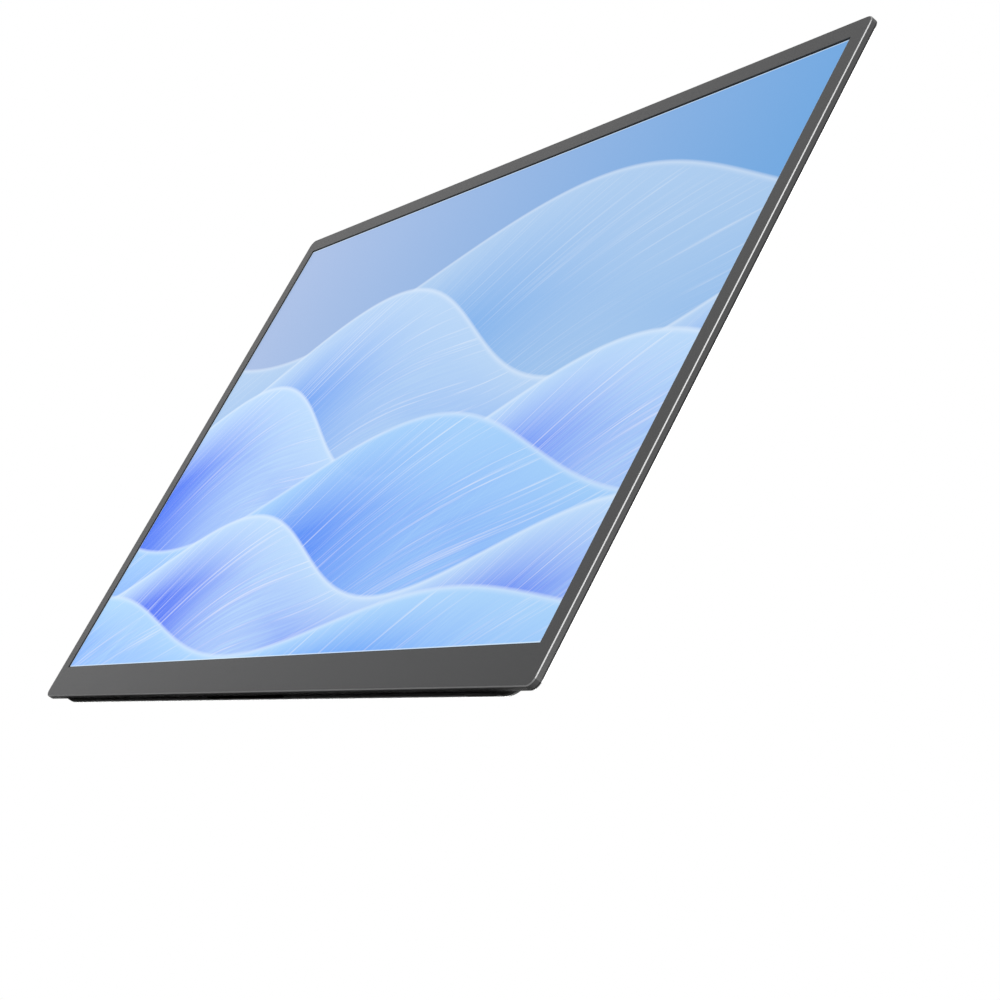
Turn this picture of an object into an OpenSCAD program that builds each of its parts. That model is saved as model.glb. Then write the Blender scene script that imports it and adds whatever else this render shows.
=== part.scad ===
// Slim portable monitor: a thin screen panel, a deeper lower housing on its back,
// and a waisted stand plate that folds flat into the housing like a cover.
// Millimetres. +X to the viewer's right, +Z up, the screen faces -Y.
// The pieces are drawn as a layout of (x, height, depth), with depth 0 at the front
// face and growing towards the back, and place() stands that layout upright.

/* [Screen] */
// Width of the lit picture
screen_w = 344.2; // [320:0.1:380]
// Height of the lit picture
screen_h = 193.6; // [180:0.1:215]
// Dark border of the display glass that shows around the lit picture
window_margin = 0.5; // [0.2:0.1:1.2]
// Width of the display glass beyond the lit picture at the sides and top
glass_border = 2.5; // [1.8:0.1:3.5]
// Width of the display glass beyond the lit picture at the bottom, for its drivers
glass_ledge = 7; // [5:0.1:9]
// Thickness of the display glass
glass_t = 0.7; // [0.5:0.05:1]
// Thickness of the backlight unit
backlight_t = 0.6; // [0.4:0.05:1]

/* [Panel] */
// Width of the bezel at the left and right of the picture
bezel_side = 7.1; // [6:0.1:12]
// Width of the bezel above the picture
bezel_top = 6.7; // [6:0.1:12]
// Width of the bezel below the picture
bezel_bottom = 12.9; // [11.5:0.1:20]
// Radius of the panel's four corners, seen from the front
panel_r = 6; // [3:0.5:9]
// Thickness of the bezel in front of the display glass
bezel_face_t = 0.4; // [0.35:0.05:0.8]
// Thickness of the bezel's side walls
bezel_wall = 1; // [0.8:0.1:1.4]
// Bevel along the front edge of the bezel and the rear edge of the back shell
edge_bevel = 0.25; // [0.15:0.05:0.3]
// Thickness of the back shell
shell_t = 0.6; // [0.5:0.05:1]
// Open seam between the bezel's side wall and the back shell
seam_gap = 0.1; // [0.05:0.05:0.2]

/* [Housing] */
// Height of the rear housing
housing_h = 86.7; // [84:0.1:100]
// Depth of the rear housing behind the panel
housing_t = 3.2; // [3.1:0.1:5]
// Distance from the panel's side to the housing's side
housing_inset = 10.35; // [6:0.05:16]
// Radius of the housing's lower corners
housing_r = 10; // [6:0.5:14]
// Radius of the housing's upper corners
housing_top_r = 1.2; // [1:0.1:3]
// Width of the bevel around the housing's rear face
housing_bevel_w = 0.5; // [0.3:0.05:0.6]
// Depth of the bevel around the housing's rear face
housing_bevel_t = 0.9; // [0.4:0.1:1.2]
// Thickness of the housing's side walls
housing_wall = 1.2; // [1:0.1:1.4]
// Thickness of the housing's rear wall over the ports and hinge bases
rear_wall = 0.45; // [0.35:0.05:0.6]
// Thickness of the floor under the stand plate
floor_t = 0.45; // [0.35:0.05:0.6]
// Length of the sound slot in the housing's bottom wall
slot_l = 58.7; // [40:0.1:70]
// Opening of the sound slot
slot_w = 1.3; // [0.8:0.1:1.5]
// Length of each rubber foot let into the bottom
foot_l = 16; // [10:0.5:24]
// Distance from the centre to the middle of each foot
foot_x = 148; // [120:0.5:150]

/* [Stand] */
// Thickness of the stand plate
stand_t = 0.9; // [0.8:0.05:1.2]
// Clearance around the edge of the stand plate
stand_gap = 0.3; // [0.25:0.05:0.5]
// How far the closed plate lies below the housing's rear face
stand_sink = 0.05; // [0.02:0.01:0.1]
// Clearance between the closed plate and the floor
stand_lift = 0.15; // [0.1:0.05:0.3]
// Width of the housing's rim beside the stand plate
rim_side = 9.35; // [9.2:0.05:12]
// Width of the housing's rim below the stand plate
rim_low = 7; // [6:0.1:10]
// Radius of the recess's lower corners
recess_r = 3.8; // [2:0.1:6]
// Width of the finger gap at each side of the plate
grip_w = 3.3; // [2:0.1:5]
// Height at which the finger gap starts
grip_low = 14.7; // [13:0.1:20]
// Distance from the hinge axis down to the end of the finger gap
grip_drop = 10; // [9:0.1:16]
// Length of the slanted run into the finger gap at the bottom
grip_run_low = 3.3; // [2:0.1:8]
// Length of the slanted run out of the finger gap at the top
grip_run_high = 5.6; // [2:0.1:8]
// Diameter of the two holes in the plate
hole_d = 5.5; // [4:0.1:6.5]
// Distance between the two holes
hole_pitch = 57.2; // [54:0.1:75]
// Height of the two holes
hole_up = 12.7; // [11.7:0.1:15]
// Depth of the pocket in the floor behind each hole
hole_pocket = 1.2; // [0.6:0.1:1.3]

/* [Hinge] */
// Distance from the hinge axis to the housing's top
hinge_drop = 3.5; // [3.4:0.1:4.5]
// Radius of the hinge barrel
barrel_r = 1.2; // [1.1:0.05:1.25]
// Radius of the hinge pin
pin_r = 0.6; // [0.4:0.05:0.7]
// Running clearance of the pin in the moving knuckle
pin_clear = 0.05; // [0.02:0.01:0.08]
// Radius of the rounded nose that the plate's upper edge turns around
nose_r = 1.7; // [1.55:0.05:1.8]
// Length of the moving knuckle
leaf_knuckle_l = 6.3; // [4:0.1:7]
// Length of the fixed knuckle
base_knuckle_l = 3.6; // [3:0.1:5]
// Thickness of the hinge leaf
leaf_t = 0.5; // [0.4:0.05:0.55]
// Length of the hinge leaf below the axis
leaf_l = 7.2; // [6:0.1:9]
// Thickness of the hinge base under the rear wall
base_t = 1; // [0.8:0.1:1.2]

/* [Ports and keys] */
// Width of the USB-C socket's shell
usb_w = 8.9; // [8.5:0.1:9.2]
// Height of the port shells
port_h = 3; // [2.9:0.05:3.05]
// Length of the port shells
port_l = 7.3; // [6:0.1:7.5]
// Thickness of the port shells
port_shell = 0.22; // [0.15:0.01:0.3]
// Width of the mini HDMI socket's shell
hdmi_w = 11.2; // [10.5:0.1:12]
// Height of the lower USB-C socket's middle
usb_low_up = 24; // [20:0.5:26]
// Height of the upper USB-C socket's middle
usb_high_up = 39; // [38:0.5:41]
// Height of the mini HDMI socket's middle
hdmi_up = 55.5; // [53:0.5:57]
// Length of the power key
key_l = 4; // [3:0.1:4.4]
// Width of the power key
key_w = 1; // [0.8:0.05:1.1]
// How far each key stands out of the housing's side
key_proud = 0.2; // [0.1:0.05:0.5]
// Travel of the power key
key_travel = 0.25; // [0.15:0.05:0.25]
// Clearance around each key
key_gap = 0.1; // [0.08:0.01:0.15]
// Distance from the housing's top to the menu rocker's pivot
rocker_drop = 15.7; // [15:0.1:17]
// Length of the menu rocker
rocker_l = 8; // [6:0.1:9]

/* [Hidden] */
$fn = 64;
cut = 1;                    // how far a cutting shape runs past the face it cuts
fit = 0.1;                  // clearance of a piece that is set into a pocket

// Depths, from the front face backwards
glass_d = bezel_face_t;
backlight_d = glass_d + glass_t;
shell_d = backlight_d + backlight_t + seam_gap;
panel_t = shell_d + shell_t;
rear_d = panel_t + housing_t;
recess_deep = stand_t + stand_sink + stand_lift;
floor_d = rear_d - recess_deep;
bay_top_d = floor_d - floor_t;

// Outlines
panel_w = screen_w + 2 * bezel_side;
panel_h = bezel_bottom + screen_h + bezel_top;
side_x = panel_w / 2 - housing_inset;         // outer side of the housing
recess_x = side_x - rim_side;                 // side of the stand's recess
bay_x = recess_x - 3.5;                       // side of the board bay
bay_low = 3;                                  // bottom wall of the housing
glass_w = screen_w + 2 * glass_border;
glass_h = glass_ledge + screen_h + glass_border;
glass_low = bezel_bottom - glass_ledge;

// Stand and hinge
hinge_up = housing_h - hinge_drop;
hinge_d = rear_d - barrel_r - 0.1;
seam_r = nose_r + 0.2;                        // the plate's upper edge, round the axis
grip_high = hinge_up - grip_drop;
stand_x = recess_x - stand_gap;
stand_low = rim_low + stand_gap;
stand_top_d = rear_d - stand_sink;
stand_under_d = stand_top_d - stand_t;
pocket_out_x = recess_x + 0.4;                // outer end of the hinge pocket
knuckle_gap = 0.2;                            // axial clearance between the knuckles
base_knuckle_x = pocket_out_x - 0.6 - base_knuckle_l;
leaf_knuckle_x = base_knuckle_x - knuckle_gap - leaf_knuckle_l;
pocket_in_x = leaf_knuckle_x - 0.7;
pocket_low = hinge_up - nose_r - 0.5;
pocket_high = hinge_up + barrel_r + 1.6;
pocket_d = hinge_d - barrel_r - 0.2;
leaf_out_x = recess_x - 0.6;
leaf_top_d = stand_top_d - 0.05;
leaf_under_d = leaf_top_d - leaf_t;
leaf_taper = 3;                               // height of the leaf's slanted corners
bay_high = pocket_low - 2.5;                  // top of the board bay
base_top_d = rear_d - rear_wall - 0.1;
base_in_x = pocket_out_x + 0.3;
base_out_x = side_x - 1.55;
base_low = hinge_up - 2.3;
base_high = hinge_up + 2.8;
base_screw_r = 0.7;
base_screw_head_r = 1.35;
base_screw_x = [side_x - 6.75, side_x - 2.95];
base_screw_up = hinge_up + 0.4;
leaf_screw_r = 0.45;
leaf_screw_head_r = 0.9;
leaf_screw_x = [leaf_knuckle_x + 2.7, leaf_knuckle_x + 6.5];
leaf_screw_up = hinge_up - 3.9;

// Boards and screws
board_t = 0.6;
board_d = panel_t + 0.2;
board_top_d = board_d + board_t;
screw_r = 0.75;
boss_r = 1.9;
housing_screw_x = [10 - bay_x, -46, 46, bay_x - 10];
housing_screw_up = [16, bay_high - 12.5];
board_low = housing_screw_up[0] + boss_r + 1.1;
board_high = housing_screw_up[1] - boss_r - 2.1;
board_in_x = 20;
housing_screw_at = [for (x = housing_screw_x, up = housing_screw_up) [x, up]];
housing_screw_head_r = 1.5;
board_screw_x = [board_in_x + 5, bay_x - 20];
board_screw_up = [board_low + 4, board_high - 4];
board_screw_at = [for (x = board_screw_x, up = board_screw_up) [x, up]];

// Ports and keys
port_d = panel_t - 0.25 + port_h / 2;         // middle of the ports
port_out_x = side_x - housing_bevel_w - 0.05;
port_in_x = port_out_x - port_l;
tail_x = port_in_x - 0.05;                    // edge of the board behind the ports
port_pocket_low = usb_low_up - 9;
port_pocket_high = hdmi_up + 9;
key_up = housing_h - 1.3 - key_l / 2;
key_d = panel_t + 0.35 + key_w / 2;
key_flange_x = side_x - housing_wall - 0.2;   // outer face of the key's flange
key_flange_t = 0.4;
rocker_up = housing_h - rocker_drop;
rocker_d = panel_t + 0.45 + key_w / 2;
rocker_pivot_x = side_x - 2.15;
rocker_pin_r = 0.35;
rocker_gap = 0.3;
rocker_pocket_x = side_x - 4;
cheek_t = 0.3;

// Places of the small pieces
speaker_in_x = 1.2;
speaker_l = 22;
speaker_w = 9;
board_mid_x = (board_in_x + bay_x) / 2;
chips = [[-28, 34, 14, 14], [-4, 36, 8, 10], [10, 34, 7, 7],
         [24, 36, 6, 6], [30, 48, 5, 5], [-18, 54, 6, 4]];
chip_t = 0.65;
flex_x = -bay_x / 2;
flex_w = 20;
flex_low = glass_low + 1.3;
flex_rise = 3;
flex_t = 0.12;
driver_low = 24;
driver_w = 10;
vent_count = 12;
vent_pitch = 5;
vent_x = 62;
vent_l = 16;
vent_w = 1.2;
magnet_l = 24;
magnet_x = bay_x - 18 - magnet_l / 2;
magnet_up = 11;
magnet_w = 5;
magnet_t = 0.4;
pad_up = (grip_low + grip_high) / 2 - 0.2;
pad_pitch = 9.6;
pad_l = 4.7;
pad_w = 1.3;
pad_t = 0.5;
foot_w = 1.6;
foot_deep = 1;
foot_d = panel_t + 0.5 + foot_w / 2;
key_grooves = 5;
switch_x = key_flange_x - key_flange_t - key_travel - 0.05;

// Colours
bezel_grey = "#58585a";
shell_black = "#222224";
housing_black = "#28282a";
steel = "#8d8d90";
board_green = "#1d4a35";

// Stands the (x, height, depth) layout upright, with its middle depth at y = 0
module place() translate([0, -rear_d / 2, 0]) multmatrix([[1, 0, 0, 0], [0, 0, 1, 0], [0, 1, 0, 0]])
    children();

module on_side(side) {
    if (side < 0) mirror([1, 0, 0]) children();
    else children();
}

// An upright block from corner to corner, in layout coordinates
module block(low, high) translate(low) cube(high - low);

// A slab, middle at x = 0, standing on height 0, with rounded corners and a bevel
// bevel_w wide and bevel_t deep around its rear face
module slab(w, h, t, r_low, r_high, bevel_w, bevel_t) {
    over = bevel_t / 2;
    difference() {
        intersection() {
            translate([0, h, 0]) rotate([90, 0, 0]) linear_extrude(h)
                polygon([[-w / 2, 0], [w / 2, 0], [w / 2, t - bevel_t], [w / 2 - bevel_w, t],
                         [bevel_w - w / 2, t], [-w / 2, t - bevel_t]]);
            translate([-w / 2, 0, 0]) rotate([90, 0, 90]) linear_extrude(w)
                polygon([[0, 0], [h, 0], [h, t - bevel_t], [h - bevel_w, t],
                         [bevel_w, t], [0, t - bevel_t]]);
        }
        for (sx = [-1, 1], high = [0, 1]) {
            r = high == 1 ? r_high : r_low;
            sy = high == 1 ? 1 : -1;
            translate([sx * (w / 2 - r), high == 1 ? h - r : r, 0]) difference() {
                translate([sx > 0 ? 0 : -r - cut, sy > 0 ? 0 : -r - cut, -cut])
                    cube([r + cut, r + cut, t + 2 * cut]);
                translate([0, 0, -2 * cut]) cylinder(r = r, h = t - bevel_t + 2 * cut);
                translate([0, 0, t - bevel_t])
                    cylinder(r1 = r, r2 = r - bevel_w * (bevel_t + over) / bevel_t, h = bevel_t + over);
            }
        }
    }
}

// A plain slab with rounded corners and no bevel
module plain_slab(w, h, t, r) linear_extrude(t) {
    translate([-w / 2 + r, 0]) square([w - 2 * r, h]);
    translate([-w / 2, r]) square([w, h - 2 * r]);
    for (x = [-1, 1] * (w / 2 - r), y = [r, h - r]) translate([x, y]) circle(r);
}

// A slot with round ends, w long across x and h high, cut along depth
module round_slot(w, h, t) linear_extrude(t) {
    square([w - h, h], center = true);
    for (x = [-1, 1] * (w - h) / 2) translate([x, 0]) circle(h / 2);
}

// A countersunk screw with its head's top at depth 0, its shank towards the front,
// and a cross recess for the driver
module screw(r, head_r, head_t, l) difference() {
    union() {
        translate([0, 0, -head_t]) cylinder(r1 = r, r2 = head_r, h = head_t);
        translate([0, 0, -l]) cylinder(r = r, h = l - head_t);
    }
    for (turn = [45, 135]) rotate([0, 0, turn])
        translate([-head_r * 0.62, -head_r * 0.14, -head_t * 0.7])
            cube([head_r * 1.24, head_r * 0.28, head_t + cut]);
}

module front_bezel() color(bezel_grey) place() difference() {
    translate([0, 0, shell_d - seam_gap]) mirror([0, 0, 1])
        slab(panel_w, panel_h, shell_d - seam_gap, panel_r, panel_r, edge_bevel, edge_bevel);
    // the tray that holds the display glass and the backlight
    translate([0, bezel_wall, bezel_face_t])
        plain_slab(panel_w - 2 * bezel_wall, panel_h - 2 * bezel_wall, shell_d, panel_r - bezel_wall);
    // the window
    block([-screen_w / 2 - window_margin, bezel_bottom - window_margin, -cut],
          [screen_w / 2 + window_margin, bezel_bottom + screen_h + window_margin, shell_d]);
}

module display_glass() color("#9cc4e4") place()
    block([-glass_w / 2, glass_low, glass_d], [glass_w / 2, glass_low + glass_h, glass_d + glass_t]);

module backlight_unit() color("#d8d8d4") place()
    block([-glass_w / 2 + 0.5, bezel_bottom - 1, backlight_d],
          [glass_w / 2 - 0.5, glass_low + glass_h - 0.5, backlight_d + backlight_t]);

module back_shell() color(shell_black) place() difference() {
    rim_t = 0.8;
    rim_w = panel_w - 2 * bezel_wall - 2 * fit;
    rim_h = panel_h - 2 * bezel_wall - 2 * fit;
    rim_r = panel_r - bezel_wall - fit;
    union() {
        translate([0, 0, shell_d])
            slab(panel_w, panel_h, shell_t, panel_r, panel_r, edge_bevel, edge_bevel);
        // the rim that nests inside the bezel's side walls
        translate([0, bezel_wall + fit, shell_d - 0.6]) difference() {
            plain_slab(rim_w, rim_h, 0.6 + fit, rim_r);
            translate([0, rim_t, -cut])
                plain_slab(rim_w - 2 * rim_t, rim_h - 2 * rim_t, 1 + 2 * cut, rim_r - rim_t);
        }
        // the posts that take the housing's screws
        for (at = housing_screw_at) translate([at.x, at.y, shell_d + 0.1])
            cylinder(r = boss_r, h = bay_top_d - shell_d - 0.1);
        for (at = board_screw_at) translate([at.x, at.y, shell_d + 0.1])
            cylinder(r = boss_r, h = board_d - shell_d - 0.1);
    }
    for (at = housing_screw_at) translate([at.x, at.y, shell_d + 0.3])
        cylinder(r = screw_r + 0.02, h = housing_t);
    for (at = board_screw_at) translate([at.x, at.y, shell_d + 0.3])
        cylinder(r = screw_r + 0.02, h = housing_t);
    // the shallow pockets under the port shells
    port_pocket(usb_low_up, usb_w, port_l + 2 * fit);
    port_pocket(usb_high_up, usb_w, port_l + 2 * fit);
    port_pocket(hdmi_up, hdmi_w, port_l + 2 * fit);
    // the slot that the panel's flex passes through
    block([flex_x - flex_w / 2 - 1, flex_low - 0.5, shell_d - cut],
          [flex_x + flex_w / 2 + 1, flex_low + flex_rise + 0.5, panel_t + cut]);
}

// The space that a port shell takes, with its clearance
module port_pocket(up, w, l) translate([port_in_x - fit, up, port_d]) rotate([0, 90, 0]) rotate([0, 0, 90])
    round_slot(w + 2 * fit, port_h + 2 * fit, l);

// The recess of the stand plate, whose upper end follows the rounded nose
module stand_recess() difference() {
    translate([0, rim_low, floor_d])
        plain_slab(2 * recess_x, hinge_up - rim_low, recess_deep + cut, recess_r);
    translate([-recess_x - cut, hinge_up, hinge_d]) rotate([0, 90, 0])
        cylinder(r = nose_r, h = 2 * recess_x + 2 * cut);
    block([-recess_x - cut, hinge_up - nose_r / 2, 0], [recess_x + cut, housing_h, rear_d + 2 * cut]);
}

// The bevel round the recess's rear edge, up to the hinge pockets
module recess_bevel() translate([0, rim_low - edge_bevel, rear_d + cut]) mirror([0, 0, 1])
    slab(2 * (recess_x + edge_bevel), pocket_low - rim_low + edge_bevel, cut + edge_bevel,
         recess_r + edge_bevel, 2 * edge_bevel, edge_bevel, edge_bevel);

module rear_housing() color(housing_black) place() difference() {
    union() {
        difference() {
            translate([0, 0, panel_t])
                slab(2 * side_x, housing_h, housing_t, housing_r, housing_top_r,
                     housing_bevel_w, housing_bevel_t);
            // the bay of the boards, open towards the back shell
            block([-bay_x, bay_low, panel_t - cut], [bay_x, bay_high, bay_top_d]);
        }
        // the bosses behind the plate's two holes
        for (x = [-1, 1] * hole_pitch / 2) translate([x, hole_up, floor_d - hole_pocket - 0.4])
            cylinder(r = hole_d / 2 + 1.2, h = floor_d - bay_top_d + hole_pocket);
    }
    stand_recess();
    recess_bevel();
    for (x = [-1, 1] * hole_pitch / 2) translate([x, hole_up, floor_d - hole_pocket])
        cylinder(r = hole_d / 2, h = recess_deep + hole_pocket);
    for (at = housing_screw_at) translate([at.x, at.y, 0]) {
        translate([0, 0, bay_top_d - cut]) cylinder(r = screw_r + 0.1, h = 2 * cut + floor_t);
        translate([0, 0, floor_d - 0.3])
            cylinder(r1 = screw_r + 0.1, r2 = housing_screw_head_r + 0.1, h = 0.3);
    }
    // the cooling slots behind the main board
    for (i = [0 : vent_count - 1])
        translate([vent_x + i * vent_pitch, (board_low + board_high) / 2, bay_top_d - cut])
            rotate([0, 0, 90]) round_slot(vent_l, vent_w, recess_deep + 2 * cut);
    // the sound slot in the bottom wall
    translate([0, bay_low + cut, panel_t + slot_w / 2]) rotate([90, 0, 0])
        round_slot(slot_l, slot_w, bay_low + 2 * cut);
    // the bay beside the ports, and the ports' own pockets
    block([bay_x - cut, port_pocket_low, panel_t - cut], [port_in_x + fit, port_pocket_high, bay_top_d]);
    port_pocket(usb_low_up, usb_w, port_l + housing_wall + cut);
    port_pocket(usb_high_up, usb_w, port_l + housing_wall + cut);
    port_pocket(hdmi_up, hdmi_w, port_l + housing_wall + cut);
    for (side = [-1, 1]) on_side(side) hinge_space();
    power_key_space();
    rocker_space();
    for (x = [-1, 1] * foot_x) foot_pocket(x);
}

// The pocket of one hinge: open at the back over the barrel, and open at the front
// over the base, whose screws come through the rear wall
module hinge_space() {
    block([pocket_in_x, pocket_low, pocket_d], [pocket_out_x, pocket_high, rear_d + cut]);
    block([pocket_out_x - cut, base_low - 0.2, panel_t - cut],
          [base_out_x + 0.2, base_high + 0.2, base_top_d + 0.1]);
    for (x = base_screw_x) translate([x, base_screw_up, rear_d]) {
        translate([0, 0, -0.6]) cylinder(r = base_screw_r + 0.05, h = 1);
        translate([0, 0, -0.4]) cylinder(r1 = base_screw_r + 0.05, r2 = base_screw_head_r + 0.05, h = 0.4);
    }
}

module hinge_base() color(steel) place() difference() {
    union() {
        translate([base_knuckle_x, hinge_up, hinge_d]) rotate([0, 90, 0])
            cylinder(r = barrel_r, h = base_knuckle_l);
        // the arm from the knuckle to the plate under the rear wall
        block([base_knuckle_x, hinge_up, hinge_d - barrel_r],
              [base_in_x + 1, base_high - 0.8, base_top_d - 0.2]);
        block([base_in_x, base_low, base_top_d - base_t], [base_out_x, base_high, base_top_d]);
    }
    translate([base_knuckle_x - cut, hinge_up, hinge_d]) rotate([0, 90, 0])
        cylinder(r = pin_r + 0.01, h = base_knuckle_l - 0.4 + cut);
    for (x = base_screw_x) translate([x, base_screw_up, base_top_d - base_t - cut])
        cylinder(r = base_screw_r + 0.02, h = base_t + 2 * cut);
}

module hinge_pin() color("#b8b8ba") place()
    translate([leaf_knuckle_x + 0.3, hinge_up, hinge_d]) rotate([0, 90, 0])
        cylinder(r = pin_r, h = base_knuckle_x + base_knuckle_l - 0.5 - leaf_knuckle_x - 0.3);

module hinge_base_screws() color("#9a9a9c") place()
    for (side = [-1, 1], x = base_screw_x)
        translate([side * x, base_screw_up, rear_d - 0.03])
            screw(base_screw_r, base_screw_head_r, 0.37, rear_wall + base_t);

module hinge_leaf() color(steel) place() difference() {
    union() {
        translate([leaf_knuckle_x, hinge_up, hinge_d]) rotate([0, 90, 0])
            cylinder(r = barrel_r, h = leaf_knuckle_l);
        block([leaf_knuckle_x, hinge_up - seam_r - 0.3, leaf_under_d],
              [leaf_knuckle_x + leaf_knuckle_l, hinge_up, leaf_top_d]);
        translate([0, 0, leaf_under_d]) linear_extrude(leaf_t) leaf_outline(0);
    }
    translate([leaf_knuckle_x - cut, hinge_up, hinge_d]) rotate([0, 90, 0])
        cylinder(r = pin_r + pin_clear, h = leaf_knuckle_l + 2 * cut);
    for (x = leaf_screw_x) translate([x, leaf_screw_up, leaf_top_d]) {
        translate([0, 0, -leaf_t - cut]) cylinder(r = leaf_screw_r + 0.02, h = leaf_t + 2 * cut);
        translate([0, 0, -0.25])
            cylinder(r1 = leaf_screw_r + 0.02, r2 = leaf_screw_head_r + 0.02, h = 0.25);
    }
}

// The tapered tab of the hinge leaf, grown by a clearance for its pocket
module leaf_outline(grow) {
    low = hinge_up - leaf_l - grow;
    high = hinge_up - barrel_r - 0.35 + grow;
    left = leaf_knuckle_x - grow;
    right = leaf_out_x + grow;
    polygon([[left, high], [right, high], [right, low + leaf_taper], [right - leaf_taper, low],
             [left + leaf_taper, low], [left, low + leaf_taper]]);
}

module leaf_screws() color("#c9c9cb") place()
    for (side = [-1, 1], x = leaf_screw_x) translate([side * x, leaf_screw_up, leaf_top_d])
        screw(leaf_screw_r, leaf_screw_head_r, 0.24, leaf_top_d - stand_under_d - 0.02);

// One side's finger gap, from the outline's edge inwards, with a bevel on its rear edge
module grip_cut() {
    deep = stand_x - (recess_x - grip_w);
    ends = [[stand_x, grip_low], [stand_x - deep, grip_low + grip_run_low],
            [stand_x - deep, grip_high - grip_run_high], [stand_x, grip_high]];
    translate([0, 0, stand_under_d - cut]) linear_extrude(stand_t + 2 * cut)
        polygon(concat(ends, [[stand_x + cut, grip_high], [stand_x + cut, grip_low]]));
    for (i = [0 : 2]) edge_cut(ends[i], ends[i + 1]);
}

// Bevels the plate's rear edge along the line from a to b, where the plate lies to its left
module edge_cut(a, b) {
    run = b - a;
    translate([a.x, a.y, stand_top_d]) rotate([0, 0, atan2(run.y, run.x)]) rotate([90, 0, 90])
        linear_extrude(norm(run))
            polygon([[-0.1, -edge_bevel - 0.1], [edge_bevel + 0.1, 0.1], [-0.1, 0.1]]);
}

module stand_plate() color(housing_black) place() difference() {
    translate([0, stand_low, stand_under_d])
        slab(2 * stand_x, hinge_up - 1 - stand_low, stand_t, recess_r - stand_gap, 1,
             edge_bevel, edge_bevel);
    // the upper edge follows the seam round the hinge axis
    translate([-stand_x - cut, hinge_up, hinge_d]) rotate([0, 90, 0])
        cylinder(r = seam_r, h = 2 * stand_x + 2 * cut);
    for (side = [-1, 1]) on_side(side) grip_cut();
    for (x = [-1, 1] * hole_pitch / 2) translate([x, hole_up, 0]) {
        translate([0, 0, stand_under_d - cut]) cylinder(r = hole_d / 2, h = stand_t + 2 * cut);
        translate([0, 0, stand_top_d - edge_bevel])
            cylinder(r1 = hole_d / 2, r2 = hole_d / 2 + edge_bevel + 0.1, h = edge_bevel + 0.1);
    }
    // the pockets of the two hinge leaves, and the holes of their screws
    for (side = [-1, 1]) on_side(side) {
        translate([0, 0, leaf_under_d - 0.05]) linear_extrude(leaf_t + cut) {
            leaf_outline(0.2);
            translate([leaf_knuckle_x - 0.2, leaf_screw_up])
                square([stand_x - leaf_knuckle_x + cut, hinge_up - leaf_screw_up]);
        }
        for (x = leaf_screw_x) translate([x, leaf_screw_up, stand_under_d - cut])
            cylinder(r = leaf_screw_r + 0.02, h = stand_t + cut);
    }
    for (x = [-1, 1] * magnet_x) magnet_shape(x, 0.05);
}

module magnet_shape(x, grow) translate([x, magnet_up, stand_under_d]) {
    translate([-magnet_l / 2 - grow, -magnet_w / 2 - grow, -grow])
        cube([magnet_l + 2 * grow, magnet_w + 2 * grow, magnet_t + grow]);
}

module stand_magnets() color("#a9a9ad") place() for (x = [-1, 1] * magnet_x) magnet_shape(x, 0);

module keeper_plates() color("#a3a3a6") place() for (x = [-1, 1] * magnet_x)
    block([x - magnet_l / 2, magnet_up - magnet_w / 2, bay_top_d - 0.3],
          [x + magnet_l / 2, magnet_up + magnet_w / 2, bay_top_d]);

// Small pads on the floor beside the plate's waist
module gap_pads() color("#8a8a8c") place()
    for (side = [-1, 1], i = [-1 : 1]) on_side(side)
        translate([recess_x - grip_w + 0.4, pad_up + i * pad_pitch - pad_l / 2, floor_d])
            cube([pad_w, pad_l, pad_t]);

module housing_screws() color("#6d6d70") place() for (at = housing_screw_at)
    translate([at.x, at.y, floor_d - 0.02])
        screw(screw_r, housing_screw_head_r, 0.27, floor_d - shell_d - 0.5);

module board_screws() color("#c4b070") place() for (at = board_screw_at) {
    translate([at.x, at.y, board_top_d]) cylinder(r = housing_screw_head_r, h = 0.4);
    translate([at.x, at.y, shell_d + 0.4]) cylinder(r = screw_r, h = board_top_d - shell_d - 0.3);
}

module main_board() color(board_green) place() difference() {
    union() {
        block([board_in_x, board_low, board_d], [bay_x - 0.5, board_high, board_top_d]);
        // the edge that carries the ports' tails
        block([bay_x - 1, port_pocket_low + 0.5, board_d], [tail_x, board_high, board_top_d]);
    }
    for (at = board_screw_at) translate([at.x, at.y, board_d - cut])
        cylinder(r = screw_r + 0.1, h = board_t + 2 * cut);
}

// Processor, memory, power chips and coils: [x, height, width, length]
module board_chips() color("#26262a") place()
    for (chip = chips) translate([board_mid_x + chip[0], chip[1], board_top_d])
        cube([chip[2], chip[3], chip_t]);

module driver_board() color(board_green) place()
    block([-bay_x * 0.77, driver_low, board_d], [-board_in_x, driver_low + driver_w, board_top_d]);

module ribbon_cable() color("#d9c9a0") place()
    block([-board_in_x - 1.5, driver_low + 2, board_top_d + 0.2],
          [board_in_x + 1.5, driver_low + driver_w - 2, board_top_d + 0.35]);

module ribbon_sockets() color("#e8e4da") place() for (side = [-1, 1]) on_side(side) difference() {
    block([board_in_x + 0.2, driver_low + 1, board_top_d],
          [board_in_x + 3.5, driver_low + driver_w - 1, board_top_d + 0.6]);
    block([board_in_x - cut, driver_low + 2 - fit, board_top_d + 0.15],
          [board_in_x + 1.6, driver_low + driver_w - 2 + fit, board_top_d + 0.4]);
}

// The flat flex from the driver board through the back shell to the display glass
module panel_flex() color("#c98f3c") place()
    translate([flex_x - flex_w / 2, 0, 0]) rotate([90, 0, 90]) linear_extrude(flex_w)
        polygon([[driver_low + 1.5, board_top_d], [driver_low + 1.5, board_top_d + flex_t],
                 [flex_low + flex_rise - 0.1, board_top_d + flex_t], [flex_low, backlight_d + flex_t],
                 [glass_low + 0.4, backlight_d + flex_t], [glass_low + 0.4, backlight_d],
                 [flex_low + 0.1, backlight_d], [flex_low + flex_rise, board_top_d]]);

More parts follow.
